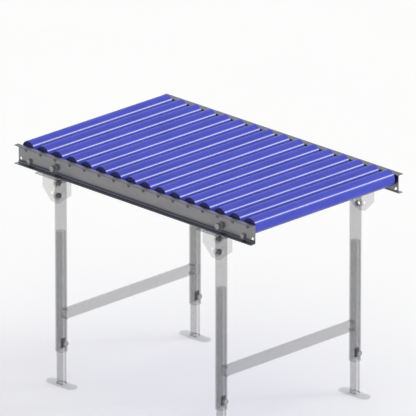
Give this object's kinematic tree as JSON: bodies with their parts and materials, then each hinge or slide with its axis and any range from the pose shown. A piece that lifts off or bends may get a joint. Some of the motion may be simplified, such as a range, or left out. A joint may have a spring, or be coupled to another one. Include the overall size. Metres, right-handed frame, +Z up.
{
  "type": "roller conveyor",
  "caption": "Gravity roller conveyor: plastic rollers on hexagon axles between two outward channel frames, carried by two stands with telescopic legs.",
  "frame": {"origin": "on the floor, under the middle of the track", "axes": "+X along the track towards the outfeed end, +Y across it along the rollers, +Z up"},
  "size_m": [1, 0.6674, 0.75],
  "materials": {
    "roller_plastic": "smooth violet-blue plastic tube with a soft sheen, and near-black dished end caps",
    "axle_steel": "dark bright-drawn hexagon bar, and the pressed steel of the bearings",
    "frame_steel": "folded zinc-plated sheet, matt grey",
    "stand_zinc": "pale zinc-plated tube and plate",
    "bolt_steel": "darker zinc-plated screws, nuts, washers and tie bars"
  },
  "bodies": {
    "track_and_stands": {"side_frame_left": "frame_steel", "side_frame_right": "frame_steel", "roller_axle_01": "axle_steel", "roller_axle_02": "axle_steel", "roller_axle_03": "axle_steel", "roller_axle_04": "axle_steel", "roller_axle_05": "axle_steel", "roller_axle_06": "axle_steel", "roller_axle_07": "axle_steel", "roller_axle_08": "axle_steel", "roller_axle_09": "axle_steel", "roller_axle_10": "axle_steel", "roller_axle_11": "axle_steel", "roller_axle_12": "axle_steel", "roller_axle_13": "axle_steel", "roller_axle_14": "axle_steel", "roller_axle_15": "axle_steel", "roller_axle_16": "axle_steel", "cross_tie_infeed": "bolt_steel", "cross_tie_outfeed": "bolt_steel", "stand_frame_infeed": "stand_zinc", "stand_frame_outfeed": "stand_zinc", "bracket_infeed_left": "stand_zinc", "bracket_infeed_right": "stand_zinc", "bracket_outfeed_left": "stand_zinc", "bracket_outfeed_right": "stand_zinc", "leg_clamp_infeed_left": "bolt_steel", "leg_clamp_infeed_right": "bolt_steel", "leg_clamp_outfeed_left": "bolt_steel", "leg_clamp_outfeed_right": "bolt_steel", "bracket_bolt_infeed_left_upper": "bolt_steel", "bracket_bolt_infeed_left_lower": "bolt_steel", "bracket_bolt_infeed_right_upper": "bolt_steel", "bracket_bolt_infeed_right_lower": "bolt_steel", "bracket_bolt_outfeed_left_upper": "bolt_steel", "bracket_bolt_outfeed_left_lower": "bolt_steel", "bracket_bolt_outfeed_right_upper": "bolt_steel", "bracket_bolt_outfeed_right_lower": "bolt_steel"},
    "roller_01_body": {"roller_01": "roller_plastic"},
    "roller_02_body": {"roller_02": "roller_plastic"},
    "roller_03_body": {"roller_03": "roller_plastic"},
    "roller_04_body": {"roller_04": "roller_plastic"},
    "roller_05_body": {"roller_05": "roller_plastic"},
    "roller_06_body": {"roller_06": "roller_plastic"},
    "roller_07_body": {"roller_07": "roller_plastic"},
    "roller_08_body": {"roller_08": "roller_plastic"},
    "roller_09_body": {"roller_09": "roller_plastic"},
    "roller_10_body": {"roller_10": "roller_plastic"},
    "roller_11_body": {"roller_11": "roller_plastic"},
    "roller_12_body": {"roller_12": "roller_plastic"},
    "roller_13_body": {"roller_13": "roller_plastic"},
    "roller_14_body": {"roller_14": "roller_plastic"},
    "roller_15_body": {"roller_15": "roller_plastic"},
    "roller_16_body": {"roller_16": "roller_plastic"},
    "telescopic_leg_infeed_left_body": {"telescopic_leg_infeed_left": "stand_zinc"},
    "telescopic_leg_infeed_right_body": {"telescopic_leg_infeed_right": "stand_zinc"},
    "telescopic_leg_outfeed_left_body": {"telescopic_leg_outfeed_left": "stand_zinc"},
    "telescopic_leg_outfeed_right_body": {"telescopic_leg_outfeed_right": "stand_zinc"}
  },
  "joints": [
    {"name": "roller_01_spin", "type": "hinge", "parent": "track_and_stands", "child": "roller_01_body", "pos_m": [-0.46875, 0, 0.725], "axis": [0, 1, 0], "continuous": true},
    {"name": "roller_02_spin", "type": "hinge", "parent": "track_and_stands", "child": "roller_02_body", "pos_m": [-0.40625, 0, 0.725], "axis": [0, 1, 0], "continuous": true},
    {"name": "roller_03_spin", "type": "hinge", "parent": "track_and_stands", "child": "roller_03_body", "pos_m": [-0.34375, 0, 0.725], "axis": [0, 1, 0], "continuous": true},
    {"name": "roller_04_spin", "type": "hinge", "parent": "track_and_stands", "child": "roller_04_body", "pos_m": [-0.28125, 0, 0.725], "axis": [0, 1, 0], "continuous": true},
    {"name": "roller_05_spin", "type": "hinge", "parent": "track_and_stands", "child": "roller_05_body", "pos_m": [-0.21875, 0, 0.725], "axis": [0, 1, 0], "continuous": true},
    {"name": "roller_06_spin", "type": "hinge", "parent": "track_and_stands", "child": "roller_06_body", "pos_m": [-0.15625, 0, 0.725], "axis": [0, 1, 0], "continuous": true},
    {"name": "roller_07_spin", "type": "hinge", "parent": "track_and_stands", "child": "roller_07_body", "pos_m": [-0.09375, 0, 0.725], "axis": [0, 1, 0], "continuous": true},
    {"name": "roller_08_spin", "type": "hinge", "parent": "track_and_stands", "child": "roller_08_body", "pos_m": [-0.03125, 0, 0.725], "axis": [0, 1, 0], "continuous": true},
    {"name": "roller_09_spin", "type": "hinge", "parent": "track_and_stands", "child": "roller_09_body", "pos_m": [0.03125, 0, 0.725], "axis": [0, 1, 0], "continuous": true},
    {"name": "roller_10_spin", "type": "hinge", "parent": "track_and_stands", "child": "roller_10_body", "pos_m": [0.09375, 0, 0.725], "axis": [0, 1, 0], "continuous": true},
    {"name": "roller_11_spin", "type": "hinge", "parent": "track_and_stands", "child": "roller_11_body", "pos_m": [0.15625, 0, 0.725], "axis": [0, 1, 0], "continuous": true},
    {"name": "roller_12_spin", "type": "hinge", "parent": "track_and_stands", "child": "roller_12_body", "pos_m": [0.21875, 0, 0.725], "axis": [0, 1, 0], "continuous": true},
    {"name": "roller_13_spin", "type": "hinge", "parent": "track_and_stands", "child": "roller_13_body", "pos_m": [0.28125, 0, 0.725], "axis": [0, 1, 0], "continuous": true},
    {"name": "roller_14_spin", "type": "hinge", "parent": "track_and_stands", "child": "roller_14_body", "pos_m": [0.34375, 0, 0.725], "axis": [0, 1, 0], "continuous": true},
    {"name": "roller_15_spin", "type": "hinge", "parent": "track_and_stands", "child": "roller_15_body", "pos_m": [0.40625, 0, 0.725], "axis": [0, 1, 0], "continuous": true},
    {"name": "roller_16_spin", "type": "hinge", "parent": "track_and_stands", "child": "roller_16_body", "pos_m": [0.46875, 0, 0.725], "axis": [0, 1, 0], "continuous": true},
    {"name": "leg_slide_infeed_left", "type": "slide", "parent": "track_and_stands", "child": "telescopic_leg_infeed_left_body", "axis": [0, 0, 1], "range_m": [-0.28, 0.1]},
    {"name": "leg_slide_infeed_right", "type": "slide", "parent": "track_and_stands", "child": "telescopic_leg_infeed_right_body", "axis": [0, 0, 1], "range_m": [-0.28, 0.1]},
    {"name": "leg_slide_outfeed_left", "type": "slide", "parent": "track_and_stands", "child": "telescopic_leg_outfeed_left_body", "axis": [0, 0, 1], "range_m": [-0.28, 0.1]},
    {"name": "leg_slide_outfeed_right", "type": "slide", "parent": "track_and_stands", "child": "telescopic_leg_outfeed_right_body", "axis": [0, 0, 1], "range_m": [-0.28, 0.1]}
  ]
}
